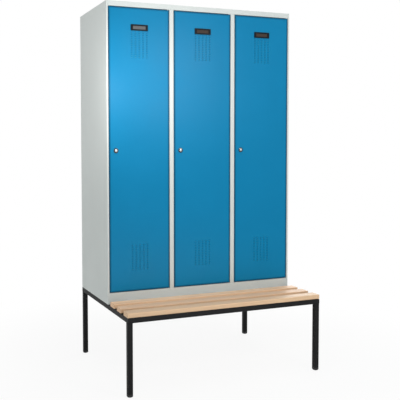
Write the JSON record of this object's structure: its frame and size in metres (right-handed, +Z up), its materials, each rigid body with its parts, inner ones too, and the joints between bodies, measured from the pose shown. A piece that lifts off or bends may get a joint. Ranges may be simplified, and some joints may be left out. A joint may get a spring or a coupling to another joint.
{
  "type": "changing-room locker with bench",
  "caption": "Free-standing steel locker with flush hinged doors, cam locks, hat shelves and sliding coat hooks, on a square-tube frame with a slatted wooden bench.",
  "frame": {"origin": "on the floor, under the middle of the footprint of the bench and the locker", "axes": "+Z up, the doors face -Y, the back panel faces +Y, +X is to the right seen from the doors"},
  "size_m": [1.19, 0.815, 2.12],
  "materials": {
    "frame": "black powder coat, satin",
    "foot": "moulded black plastic",
    "slat": "beech, clear lacquer",
    "body": "light grey powder coat, fine texture",
    "door": "blue powder coat, satin",
    "label_holder": "moulded black plastic",
    "label_card": "plain blank insert",
    "lock_barrel": "dark lock body",
    "lock_plug": "nickel-plated",
    "lock_cam": "zinc-plated steel",
    "pin": "zinc-plated steel",
    "coat_rail": "chromed steel tube",
    "coat_hook": "moulded black plastic"
  },
  "bodies": {
    "root": {"front_rail": "frame", "right_rail": "frame", "rear_rail": "frame", "left_rail": "frame", "cross_rail": "frame", "front_left_leg": "frame", "front_left_foot": "foot", "front_right_leg": "frame", "front_right_foot": "foot", "rear_left_leg": "frame", "rear_left_foot": "foot", "rear_right_leg": "frame", "rear_right_foot": "foot", "seat_slat_1": "slat", "seat_slat_2": "slat", "seat_slat_3": "slat", "left_side_panel": "body", "right_side_panel": "body", "stop_strip": "body", "partition_1": "body", "partition_2": "body", "top_panel": "body", "base_panel": "body", "back_panel": "body", "hat_shelf_1": "body", "coat_rail_1": "coat_rail", "lower_hinge_pin_1": "pin", "upper_hinge_pin_1": "pin", "hat_shelf_2": "body", "coat_rail_2": "coat_rail", "lower_hinge_pin_2": "pin", "upper_hinge_pin_2": "pin", "hat_shelf_3": "body", "coat_rail_3": "coat_rail", "lower_hinge_pin_3": "pin", "upper_hinge_pin_3": "pin"},
    "door_1": {"door_1": "door", "door_stiffener_1": "door", "label_holder_1": "label_holder", "label_card_1": "label_card", "lock_barrel_1": "lock_barrel"},
    "lock_1": {"lock_plug_1": "lock_plug", "lock_cam_1": "lock_cam"},
    "hook_1": {"coat_hook_1": "coat_hook"},
    "door_2": {"door_2": "door", "door_stiffener_2": "door", "label_holder_2": "label_holder", "label_card_2": "label_card", "lock_barrel_2": "lock_barrel"},
    "lock_2": {"lock_plug_2": "lock_plug", "lock_cam_2": "lock_cam"},
    "hook_2": {"coat_hook_2": "coat_hook"},
    "door_3": {"door_3": "door", "door_stiffener_3": "door", "label_holder_3": "label_holder", "label_card_3": "label_card", "lock_barrel_3": "lock_barrel"},
    "lock_3": {"lock_plug_3": "lock_plug", "lock_cam_3": "lock_cam"},
    "hook_3": {"coat_hook_3": "coat_hook"}
  },
  "joints": [
    {"name": "door_hinge_1", "type": "hinge", "parent": "root", "child": "door_1", "pos_m": [-0.22133, -0.0865, 1.2875], "axis": [0, 0, 1], "range_deg": [0, 105]},
    {"name": "lock_turn_1", "type": "hinge", "parent": "door_1", "child": "lock_1", "pos_m": [-0.542, -0.0925, 1.2875], "axis": [0, -1, 0], "range_deg": [0, 90]},
    {"name": "hook_slide_1", "type": "slide", "parent": "root", "child": "hook_1", "axis": [1, 0, 0], "range_m": [-0.12, 0.12]},
    {"name": "door_hinge_2", "type": "hinge", "parent": "root", "child": "door_2", "pos_m": [0.17733, -0.0865, 1.2875], "axis": [0, 0, 1], "range_deg": [0, 105]},
    {"name": "lock_turn_2", "type": "hinge", "parent": "door_2", "child": "lock_2", "pos_m": [-0.14333, -0.0925, 1.2875], "axis": [0, -1, 0], "range_deg": [0, 90]},
    {"name": "hook_slide_2", "type": "slide", "parent": "root", "child": "hook_2", "axis": [1, 0, 0], "range_m": [-0.12, 0.12]},
    {"name": "door_hinge_3", "type": "hinge", "parent": "root", "child": "door_3", "pos_m": [0.576, -0.0865, 1.2875], "axis": [0, 0, 1], "range_deg": [0, 105]},
    {"name": "lock_turn_3", "type": "hinge", "parent": "door_3", "child": "lock_3", "pos_m": [0.25533, -0.0925, 1.2875], "axis": [0, -1, 0], "range_deg": [0, 90]},
    {"name": "hook_slide_3", "type": "slide", "parent": "root", "child": "hook_3", "axis": [1, 0, 0], "range_m": [-0.12, 0.12]}
  ]
}
